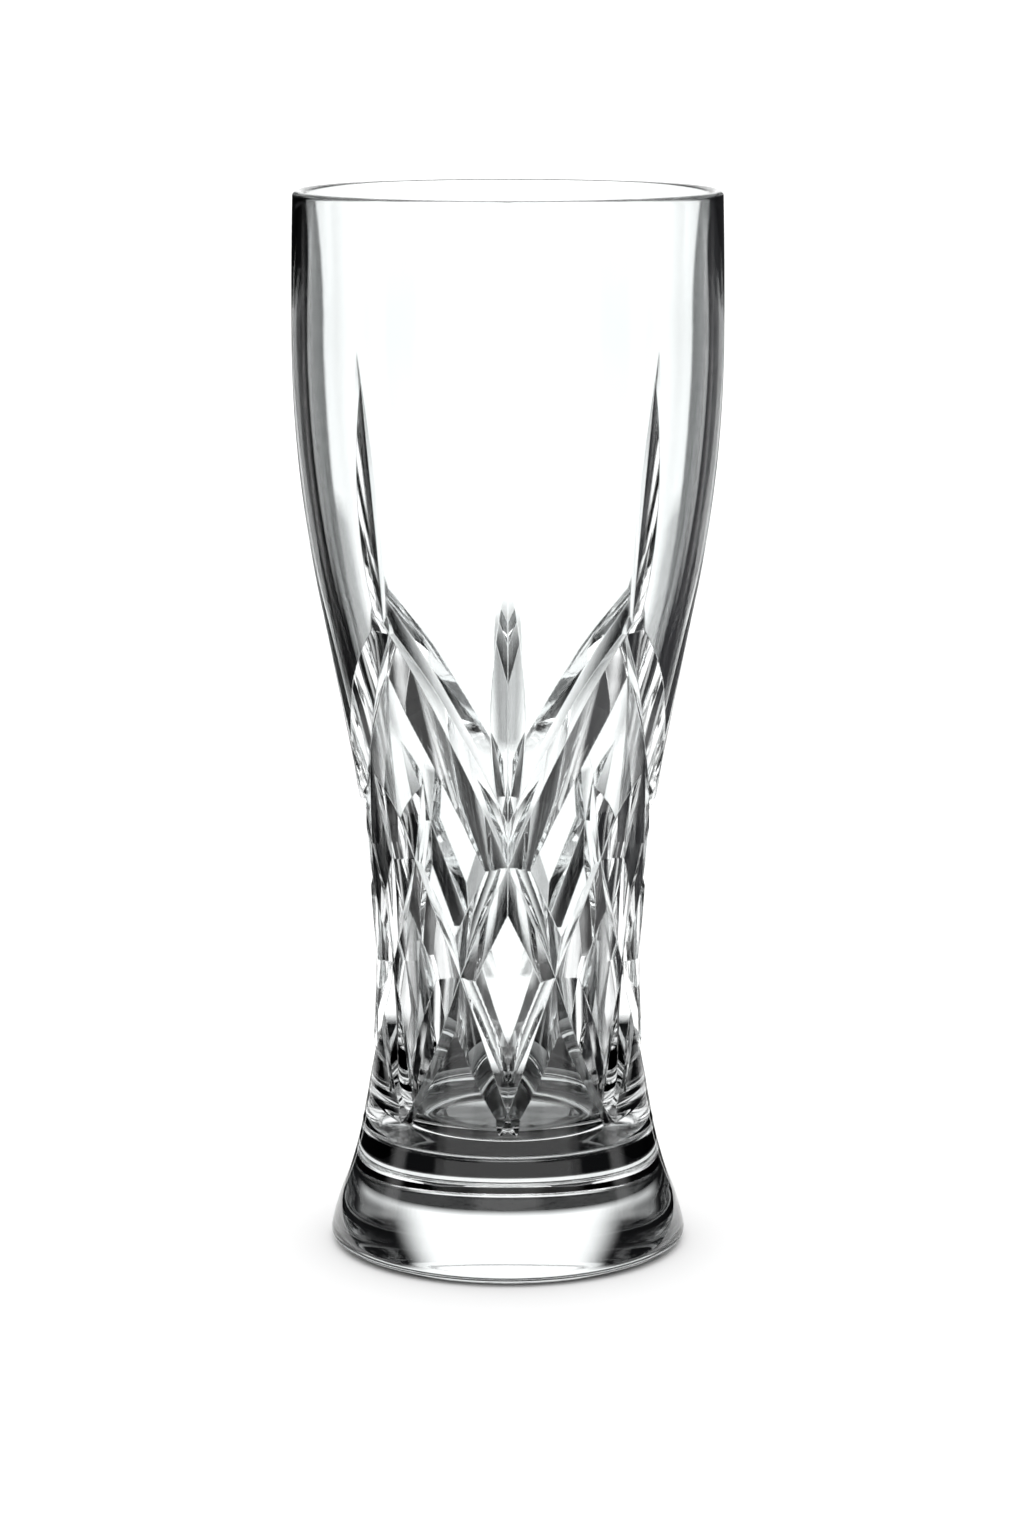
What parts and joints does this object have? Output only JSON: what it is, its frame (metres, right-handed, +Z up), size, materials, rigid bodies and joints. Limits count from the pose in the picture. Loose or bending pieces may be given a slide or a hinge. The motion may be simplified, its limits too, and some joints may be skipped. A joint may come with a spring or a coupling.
{
  "type": "cut crystal vase",
  "caption": "Tall waisted cut crystal vase with a flared solid foot, an open mouth, crossing mitre cuts round the waist and upright leaf cuts above",
  "frame": {"origin": "centre of the rest ring under the foot, on the surface the vase stands on", "axes": "+Z up along the vessel's axis; -Y faces the column of cuts with an upright leaf above it; +X to the right of it"},
  "size_m": [0.0882, 0.0882, 0.22],
  "materials": {
    "bowl_crystal": "clear colourless lead crystal, fire-polished inside, cuts acid polished",
    "foot_crystal": "clear colourless lead crystal, solid, ground and polished rest ring"
  },
  "bodies": {
    "root": {"bowl": "bowl_crystal", "foot": "foot_crystal"}
  },
  "joints": []
}
